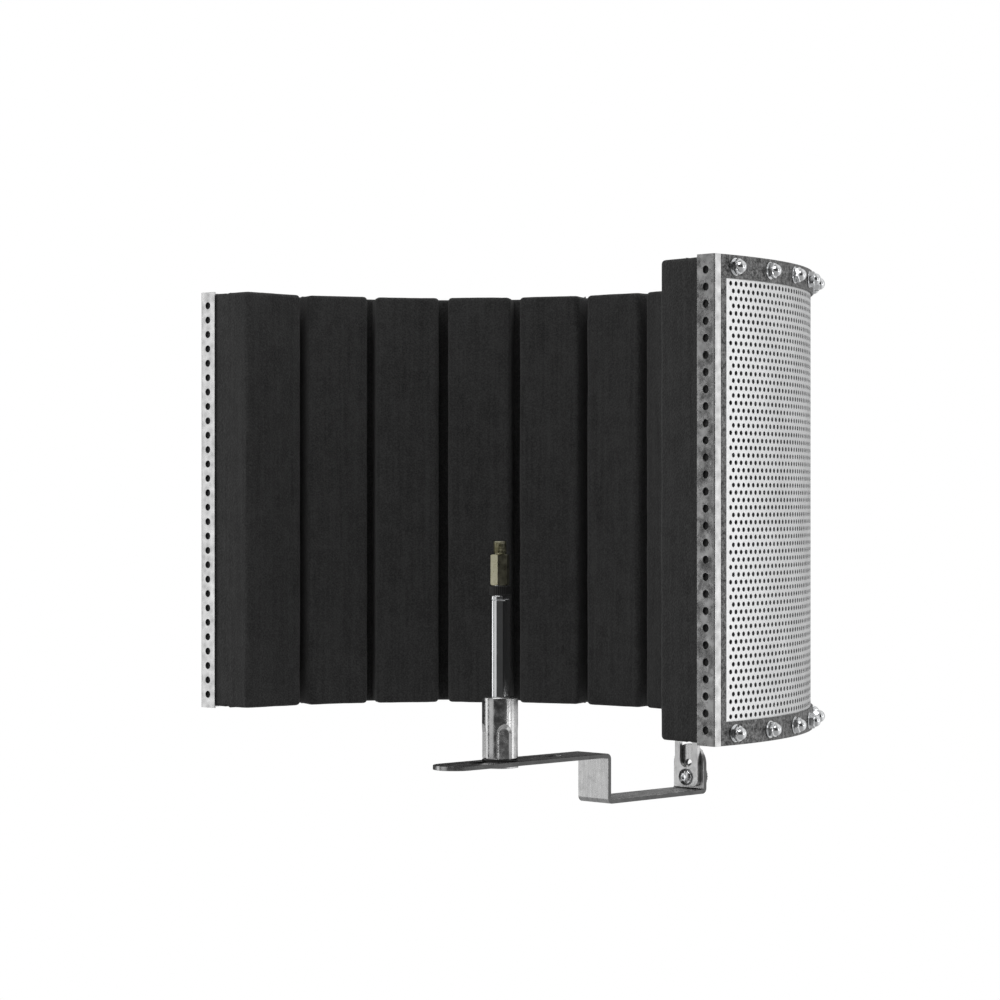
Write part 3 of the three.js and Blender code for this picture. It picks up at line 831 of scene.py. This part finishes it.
def add_foam(name, node, outline, angle, spacing, level_step):
    """A block of cut foam with soft edges: rings of the outline stacked up, then gently uneven.

    The outline is a plan with radial outwards along +Y, and the angle is its place round the arc.
    """
    low, high = (corner.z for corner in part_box(node))
    out, across = directions(angle)
    outline = resample(outline, spacing)
    foot = [(FOAM_EDGE * (1 - sin(t)), low + FOAM_EDGE * (1 - cos(t))) for t in spread(0, pi / 2, 4)[:-1]]
    count = max(2, round((high - low - 2 * FOAM_EDGE) / level_step))
    body = [(0, z) for z in spread(low + FOAM_EDGE, high - FOAM_EDGE, count)]
    levels = foot + body + [(gap, low + high - z) for gap, z in reversed(foot)]
    rings = [
        [ARC_CENTRE + across * p.x + out * p.y + UP * z for p in (inset(outline, gap) if gap else outline)]
        for gap, z in levels
    ]
    block = new_object(name, *skin(rings, capped=True))
    normals = [vertex.normal.copy() for vertex in block.data.vertices]
    for vertex, normal in zip(block.data.vertices, normals):
        at = vertex.co.copy()
        swell = sum(noise.noise(at * scale) * share for scale, share in FOAM_SWELLS)
        vertex.co = at + normal * (swell - FOAM_SHRINK) * FOAM_UNEVENNESS
    settle(block, "screen", "foam", node, crease=50, flat_faces=False)


def plan_arc(radius, start, end, steps):
    """Plan points on an arc; the angles run from +Y towards +X."""
    return [Vector((radius * sin(a), radius * cos(a))) for a in spread(start, end, steps)]


def add_foam_backing():
    half = HALF_ARC - FOAM_END_ANGLE
    outline = plan_arc(SHEET_RADIUS - METAL - CLEARANCE, -half, half, 120)
    outline += plan_arc(FOAM_ROOT_RADIUS, half, -half, 120)
    add_foam("foam_lining", "foam_backing", outline, 0, 6 * MM, 6 * MM)


def pad_outline(end_side):
    """A pad's plan; an end side follows the screen's end plane."""
    back = FOAM_ROOT_RADIUS + PAD_PRESS
    slant = PAD_PITCH / 2 - FOAM_END_ANGLE

    def side_x(side):
        return side * (FOAM_FACE_RADIUS * tan(slant) if side == end_side else PAD_WIDTH / 2)

    def back_angle(side):
        return side * (slant if side == end_side else asin(PAD_WIDTH / 2 / back))

    corners = [(p.x, p.y, 0) for p in plan_arc(back, back_angle(-1), back_angle(1), 12)]
    corners += [(side_x(side), FOAM_FACE_RADIUS, PAD_CORNER) for side in (1, -1)]
    return fillet(corners, 5)


def add_foam_pads():
    for i in range(PAD_COUNT):
        end_side = -1 if i == 0 else int(i == PAD_COUNT - 1)
        number = f"{i + 1:02d}"
        angle = -HALF_ARC + (i + 0.5) * PAD_PITCH
        add_foam(f"foam_rib_{number}", f"foam_pad_{number}", pad_outline(end_side), angle, 3 * MM, 3.6 * MM)


# ---- arm: bar, upright and their fasteners ----

def add_bar():
    low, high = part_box("z_bar")
    half = high.x
    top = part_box("swivel_washer")[0].z - CLEARANCE
    step_front, step_rear = BAR_STEP - PLATE / 2, BAR_STEP + PLATE / 2
    tab_front, tab_rear = high.y - PLATE, high.y
    corners = [
        (low.y, top - PLATE, 0),
        (step_front, top - PLATE, BEND_INNER),
        (step_front, low.z, BEND_OUTER),
        (tab_rear, low.z, BEND_OUTER),
        (tab_rear, high.z, 0),
        (tab_front, high.z, 0),
        (tab_front, low.z + PLATE, BEND_INNER),
        (step_rear, low.z + PLATE, BEND_INNER),
        (step_rear, top, BEND_OUTER),
        (low.y, top, 0),
    ]
    bar = prism("bar", fillet(corners, 6), -half, half, along_x)
    through_bar = (top - 3 * PLATE, top + PLATE, along_z)
    through_tab = (tab_front - PLATE, tab_rear + PLATE, along_y)
    bolt_z = high.z - half
    cutters = [
        prism("slot", slot_outline(BAR_SLOT_HALF, BAR_SLOT_FRONT, BAR_SLOT_REAR), *through_bar),
        prism("bolt", circle(BOLT_HOLE, 32, (0, bolt_z)), *through_tab),
    ]
    reach = half + PLATE
    for name, turned, centre, through in (
        ("nose", -1, low.y + half, through_bar),
        ("tab", 1, bolt_z, through_tab),
    ):
        beyond = centre + turned * reach
        outline = [Vector((-reach, centre))] + arc(half, (0, centre), pi, pi * (1 - turned), 32)
        outline += [Vector((reach, centre)), Vector((reach, beyond)), Vector((-reach, beyond))]
        cutters.append(prism(name, outline, *through))
    carve(bar, cutters)
    settle(soften(bar, PLATE_EDGE, limit=50), "arm", "plated_steel", "z_bar", finish=make_side_shaded_plate())


def add_upright():
    low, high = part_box("slotted_upright")
    half = high.x
    shoulder = high.z - half
    outline = fillet([(-half, low.z, BEND_OUTER), (half, low.z, BEND_OUTER), (half, shoulder, 0)], 8)
    outline += arc(half, (0, shoulder), 0, pi, 32)[1:]
    upright = prism("upright", outline, low.y, high.y, along_y)
    slot = slot_outline(UPRIGHT_SLOT_HALF, low.z + UPRIGHT_SLOT_FOOT, high.z - UPRIGHT_SLOT_HEAD)
    through = (low.y - 5 * MM, high.y + 5 * MM, along_y)
    bolt = circle(BOLT_HOLE, 32, (0, BOLT_HEIGHT))
    carve(upright, [prism("slot", slot, *through), prism("bolt", bolt, *through)])
    settle(soften(upright, PLATE_EDGE, limit=50), "arm", "plated_steel", "slotted_upright")


def add_thumb_nut(name, body, node):
    """A knurled thumb nut with a stepped collar and a chamfered bore, along +Y."""
    low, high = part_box(node)
    radius = (high.x - low.x) / 2
    height = high.y - low.y
    flutes = 30
    bore = 3.15 * MM
    chamfer = 0.5 * MM
    rim = 0.6 * height
    collar = 0.62 * radius
    profile = [
        (bore + chamfer, 0, 0), (radius - 1.0 * MM, 0, 0), (radius - 0.35 * MM, 0.25 * MM, 0.6),
        (radius, 0.9 * MM, 1), (radius, rim - 0.9 * MM, 1), (radius - 0.35 * MM, rim - 0.25 * MM, 0.6),
        (radius - 1.0 * MM, rim, 0), (0.66 * radius, rim + 0.1 * MM, 0), (collar, rim + 0.4 * MM, 0),
        (collar, height - chamfer, 0), (0.57 * radius, height, 0), (bore + chamfer, height, 0),
        (bore, height - chamfer, 0), (bore, chamfer, 0),
    ]
    place = ((low.x + high.x) / 2, low.y, (low.z + high.z) / 2)
    knurl = waves(flutes, 0.75 * MM, 1.5)
    nut = lathe(name, profile, flutes * 6, place, along_y, knurl, closed=True)
    settle(nut, body, "dark_steel", node, crease=32)


def add_washer_y(name, body, node):
    low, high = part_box(node)
    place = (0, low.y, (low.z + high.z) / 2)
    profile = ring_profile((high.x - low.x) / 2, BOLT_HOLE, 0, high.y - low.y, 0.25 * MM)
    settle(lathe(name, profile, 64, place, along_y, closed=True), body, "plated_steel", node)


def add_clamp():
    """The bolt with a low domed head and a hexagon socket, its washer and its thumb nut."""
    head_radius = (bolt_high.x - bolt_low.x) / 2
    head_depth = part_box("slotted_upright")[0].y - CLEARANCE - bolt_low.y
    neck_radius, neck_end = 2.9 * MM, head_depth + 7 * MM
    edge = 0.1 * MM
    dome = head_depth - 0.5 * MM
    profile = [(head_radius * sin(t), dome * (1 - cos(t))) for t in spread(0, pi / 2, 8)]
    profile += [(head_radius, head_depth - edge), (head_radius - edge, head_depth)]
    profile += [(neck_radius, head_depth), (neck_radius, neck_end), (0, neck_end)]
    head = lathe("bolt_head", profile, 64, (0, bolt_low.y, BOLT_HEIGHT), along_y)
    hexagon = circle(2.3 * MM, 6, (0, BOLT_HEIGHT))
    carve(head, [prism("socket", hexagon, bolt_low.y - 1 * MM, bolt_low.y + 1.6 * MM, along_y)])
    settle(soften(head, 0.12 * MM, limit=40), "arm", "chrome", "clamp_bolt")
    place = (0, 0, BOLT_HEIGHT)
    shank = thread("bolt_thread", BOLT_RADIUS, BOLT_PITCH, bolt_low.y + neck_end, bolt_high.y, place)
    settle(shank, "arm", "plated_steel", "clamp_bolt")
    add_washer_y("bolt_washer", "arm", "clamp_washer")
    add_thumb_nut("thumb_nut_arm", "clamp_nut", "clamp_nut")


def add_height_studs():
    """The two studs that slide in the upright's slot: plate, shoulder, thread, washer and nut."""
    upright_low, upright_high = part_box("slotted_upright")
    corner = 3 * MM
    shoulder_radius = UPRIGHT_SLOT_HALF - CLEARANCE
    for level in ("lower", "upper"):
        node = f"stud_plate_{level}"
        low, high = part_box(node)
        middle = (low.z + high.z) / 2
        half = high.x
        depth = upright_low.y - CLEARANCE - low.y
        plan = ((-half, low.z), (half, low.z), (half, high.z), (-half, high.z))
        corners = [(x, z, corner) for x, z in plan]
        plate = prism(f"slide_plate_{level}", fillet(corners, 6), low.y, low.y + depth, along_y)
        settle(soften(plate, 0.25 * MM, limit=50), "screen", "plated_steel", node)
        end = upright_high.y - low.y - CLEARANCE
        profile = [(0, depth), (shoulder_radius, depth), (shoulder_radius, end - 0.3 * MM)]
        profile += [(shoulder_radius - 0.3 * MM, end), (0, end)]
        shoulder = lathe(f"slide_shoulder_{level}", profile, 48, (0, low.y, middle), along_y)
        settle(shoulder, "screen", "plated_steel", node)
        place = (0, 0, middle)
        stud = thread(f"slide_stud_{level}", BOLT_RADIUS, BOLT_PITCH, low.y + end, high.y, place)
        settle(stud, "screen", "plated_steel", node)
        add_washer_y(f"slide_washer_{level}", "screen", f"height_washer_{level}")
        add_thumb_nut(f"thumb_nut_{level}", f"height_nut_{level}", f"height_nut_{level}")


# ---- stand fitting, riser and coupler ----

def add_stand_washers():
    stud_hole = 5 * MM
    for name, node, body, slot, edge in (
        ("collar_washer", "stand_washer", "stand_fitting", "plated_steel", 0.3 * MM),
        ("friction_washer", "swivel_washer", "swivel", "black_plastic", 0.25 * MM),
    ):
        low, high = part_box(node)
        profile = ring_profile(high.x, stud_hole, 0, high.z - low.z, edge)
        settle(lathe(name, profile, 96, (0, 0, low.z), closed=True), body, slot, node)


def flat_cutter(name, direction, base):
    """A solid that sinks a wrench flat under a round arch, with sloping walls, facing a direction."""
    depth = 4 * MM
    arches = []
    for half in (FLAT_HALF, FLAT_HALF + depth / tan(FLAT_WALL)):
        foot = [Vector((-half, -5 * MM)), Vector((half, -5 * MM))]
        arches.append(foot + arc(half, (0, FLAT_TOP - FLAT_HALF), 0, pi, 32))
    out = Vector((cos(direction), sin(direction), 0))
    across = Vector((-sin(direction), cos(direction), 0))
    rings = [
        [out * distance + across * p.x + UP * (base + p.y) for p in arch]
        for distance, arch in zip((FLAT_DISTANCE, FLAT_DISTANCE + depth), arches)
    ]
    return new_object(name, *skin(rings, capped=True))


def add_hub():
    """The chrome hub: turned, bored from both ends, with four sunk wrench flats under round arches."""
    low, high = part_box("stand_hub")
    radius = high.x
    height = high.z - low.z
    corners = [
        (HUB_STUD_BORE, 0, 0.5 * MM), (radius, 0, HUB_EDGE), (radius, height, HUB_EDGE),
        (HUB_ROD_BORE, height, 0.4 * MM),
    ]
    profile = [(0, HUB_STUD_DEPTH), (HUB_STUD_BORE, HUB_STUD_DEPTH)]
    profile += [tuple(p) for p in fillet(corners, 4)]
    profile += [(HUB_ROD_BORE, height - HUB_ROD_DEPTH), (0, height - HUB_ROD_DEPTH)]
    hub = lathe("hub", profile, 96, (0, 0, low.z))
    carve(hub, [flat_cutter(f"flat_{k}", FLAT_TURN + pi / 2 * k, low.z) for k in range(4)])
    soften(hub, 0.3 * MM, limit=25, segments=3)
    settle(hub, "stand_fitting", "chrome", "stand_hub", crease=60, finish=make_hub_chrome())


def add_riser():
    """The chrome rod, with a shallow groove below its top and a neck inside the lock ring."""
    low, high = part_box("riser_rod")
    radius = high.x
    groove = radius - 0.25 * MM
    neck = 4.2 * MM
    height = high.z - low.z
    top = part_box("lock_ring")[0].z - CLEARANCE - low.z
    profile = [(0, 0), (radius - 0.5 * MM, 0), (radius, 0.5 * MM), (radius, top - 3.4 * MM)]
    profile += [(groove, top - 3.1 * MM), (groove, top - 2.6 * MM), (radius, top - 2.3 * MM)]
    profile += [(radius, top - 0.7 * MM), (radius - 0.2 * MM, top - 0.2 * MM), (radius - 0.7 * MM, top)]
    profile += [(neck, top), (neck, height), (0, height)]
    settle(lathe("rod", profile, 96, (0, 0, low.z)), "riser", "chrome", "riser_rod", crease=25)


def add_lock_ring():
    """A black ring with fine upright ribs."""
    low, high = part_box("lock_ring")
    radius = high.x
    height = high.z - low.z
    ribs = 32
    bore = 4.5 * MM
    profile = [
        (bore, 0, 0), (radius - 0.7 * MM, 0, 0), (radius - 0.2 * MM, 0.3 * MM, 0.5), (radius, 0.8 * MM, 1),
        (radius, height - 0.8 * MM, 1), (radius - 0.2 * MM, height - 0.3 * MM, 0.5),
        (radius - 0.7 * MM, height, 0), (bore, height, 0),
    ]
    ring = lathe("jam_ring", profile, ribs * 6, (0, 0, low.z), shape=waves(ribs, 0.35 * MM), closed=True)
    settle(ring, "lock_ring", "black_plastic", "lock_ring", crease=40)


def add_coupler():
    """The hexagon coupler with chamfered ends, and its threaded stud."""
    low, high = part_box("mic_coupler")
    corner = max(high.x, high.y)
    place = (0, 0, low.z)
    hex_top = low.z + COUPLER_HEX_HEIGHT
    body = prism("coupler_hexagon", circle(corner, 6), low.z, hex_top, along_z)
    narrow, wide = corner - COUPLER_CHAMFER, corner + 0.1 * MM
    turned = [(0, 0), (narrow, 0), (wide, COUPLER_CHAMFER), (wide, COUPLER_HEX_HEIGHT - COUPLER_CHAMFER)]
    turned += [(narrow, COUPLER_HEX_HEIGHT), (0, COUPLER_HEX_HEIGHT)]
    carve(body, [lathe("turned", turned, 96, place)], "INTERSECT")
    bore = circle(COUPLER_BORE, 48)
    carve(body, [prism("bore", bore, low.z - 1 * MM, low.z + COUPLER_BORE_DEPTH, along_z)])
    settle(soften(body, 0.2 * MM, limit=25), "coupler", "warm_nickel", "mic_coupler")
    stud = thread("coupler_stud", COUPLER_THREAD, COUPLER_PITCH, hex_top, high.z, (0, 0, 0), along_z, 36)
    settle(stud, "coupler", "warm_nickel", "mic_coupler")


# ---- studio ----

def make_camera():
    data = bpy.data.cameras.new("camera")
    data.lens = CAMERA_LENS
    camera = bpy.data.objects.new("camera", data)
    bpy.context.scene.collection.objects.link(camera)
    camera.location = CAMERA_PLACE
    look = Vector((0, 0, CAMERA_PLACE.z)) - CAMERA_PLACE
    camera.rotation_euler = look.to_track_quat("-Z", "Y").to_euler()
    bpy.context.scene.camera = camera


def add_light(name, place, width, height, target, brightness):
    """A soft box of that size whose face has that brightness, hidden from the camera."""
    data = bpy.data.lights.new(name, "AREA")
    data.energy = brightness * pi * width * height
    data.shape = "RECTANGLE"
    data.size = width
    data.size_y = height
    light = bpy.data.objects.new(name, data)
    bpy.context.scene.collection.objects.link(light)
    light.location = place
    light.rotation_euler = (Vector(target) - Vector(place)).to_track_quat("-Z", "Y").to_euler()
    light.visible_camera = False


def make_world():
    """White to the eye; to the object, a room that is bright behind it and dim round the camera."""
    world = bpy.data.worlds.new("studio")
    bpy.context.scene.world = world
    world.use_nodes = True
    tree = world.node_tree
    tree.nodes.clear()
    direction = tree.nodes.new("ShaderNodeTexCoord").outputs["Generated"]

    def glow(towards, start, end, low, high):
        """Brightness that rises smoothly as the direction turns towards a vector."""
        side = add_node(tree, "ShaderNodeVectorMath", {0: direction, 1: towards}, operation="DOT_PRODUCT")
        return smooth_range(tree, side.outputs["Value"], start, end, low, high)

    def total(first, second):
        return add_node(tree, "ShaderNodeMath", {0: first, 1: second}).outputs["Value"]

    back_wall = glow((0.48, 0.84, 0.24), 0.1, 1.0, 0.06, 0.85)
    pale_floor = glow((0, 0, -1), 0.12, 0.40, 0, 0.42)
    ceiling = glow((0, 0, 1), 0.30, 0.85, 0, 0.35)
    level = total(back_wall, total(pale_floor, ceiling))
    room = add_node(tree, "ShaderNodeBackground", {"Strength": level}).outputs["Background"]
    seen = add_node(tree, "ShaderNodeBackground", {"Color": (1, 1, 1, 1)}).outputs["Background"]
    eye = tree.nodes.new("ShaderNodeLightPath").outputs["Is Camera Ray"]
    mix = add_node(tree, "ShaderNodeMixShader", {"Fac": eye, 1: room, 2: seen})
    add_node(tree, "ShaderNodeOutputWorld", {"Surface": mix.outputs["Shader"]})


def make_floor():
    """A pale round floor that fades into the white room away from the object."""
    rings, sides = 24, 96
    level = cad_box[0][2] - FLOOR_DROP
    floor = lathe("floor", [(FLOOR_RADIUS * (j / rings) ** 1.5, level) for j in range(rings + 1)], sides)
    material = bpy.data.materials.new("pale_floor")
    material.use_nodes = True
    tree = material.node_tree
    surface = tree.nodes["Principled BSDF"]
    surface.inputs["Base Color"].default_value = FLOOR_TONE
    surface.inputs["Roughness"].default_value = 0.9
    place = tree.nodes.new("ShaderNodeTexCoord").outputs["Object"]
    flat = add_node(tree, "ShaderNodeVectorMath", {0: place, 1: (1, 1, 0)}, operation="MULTIPLY")
    distance = add_node(tree, "ShaderNodeVectorMath", {0: flat.outputs["Vector"]}, operation="LENGTH")
    fade = smooth_range(tree, distance.outputs["Value"], FLOOR_NEAR, FLOOR_FAR, FLOOR_GLOW, 1)
    white = tree.nodes.new("ShaderNodeEmission").outputs["Emission"]
    mix = add_node(tree, "ShaderNodeMixShader", {"Fac": fade, 1: surface.outputs["BSDF"], 2: white})
    tree.links.new(mix.outputs["Shader"], tree.nodes["Material Output"].inputs["Surface"])
    floor.data.materials.append(material)
    floor.visible_glossy = False
    floor.visible_diffuse = False


def make_lights():
    """The soft boxes, each with the values that add_light takes."""
    middle = (0, 0.02, 0.18)
    for light in (
        ("key", (0.30, -0.95, 1.45), 1.2, 1.2, middle, 1.9),
        ("left_card", (-0.77, -0.63, 0.12), 0.34, 0.9, (-0.1, 0.05, 0.12), 1.25),
        ("front_left", (-0.31, -1.26, 0.22), 0.75, 0.9, middle, 0.6),
        ("back_left", (-1.3, 1.5, 1.3), 1.2, 1.2, (-0.1, 0.05, 0.18), 0.5),
        ("back_right", (1.75, 1.75, 0.25), 0.7, 1.4, (0.2, 0.05, 0.18), 0.9),
        ("right_strip", (1.9, 0.17, 0.25), 0.14, 1.3, (0.05, 0, 0.18), 2.6),
        ("low_strip", (1.88, 0.66, -0.14), 0.30, 0.40, (0, 0, 0.02), 2.4),
    ):
        add_light(*light)


# ---- build ----

make_camera()
make_world()
make_lights()
make_floor()
add_perforated_sheet()
add_edge_strip("edge_strip_low", SCREEN_LOW, "bottom_edge_strip")
add_edge_strip("edge_strip_high", SCREEN_HIGH - STRIP_HEIGHT, "top_edge_strip")
add_channel("channel_right", 1, "end_channel_right")
add_channel("channel_left", -1, "end_channel_left")
add_side_strip("side_trim_right", 1, "side_strip_right")
add_side_strip("side_trim_left", -1, "side_strip_left")
add_cap_nuts("cap_nuts_low", SCREEN_LOW + STRIP_HEIGHT / 2)
add_cap_nuts("cap_nuts_high", SCREEN_HIGH - STRIP_HEIGHT / 2)
add_foam_backing()
add_foam_pads()
add_bar()
add_upright()
add_clamp()
add_height_studs()
add_stand_washers()
add_hub()
add_riser()
add_lock_ring()
add_coupler()

bpy.context.scene.view_settings.view_transform = "Standard"
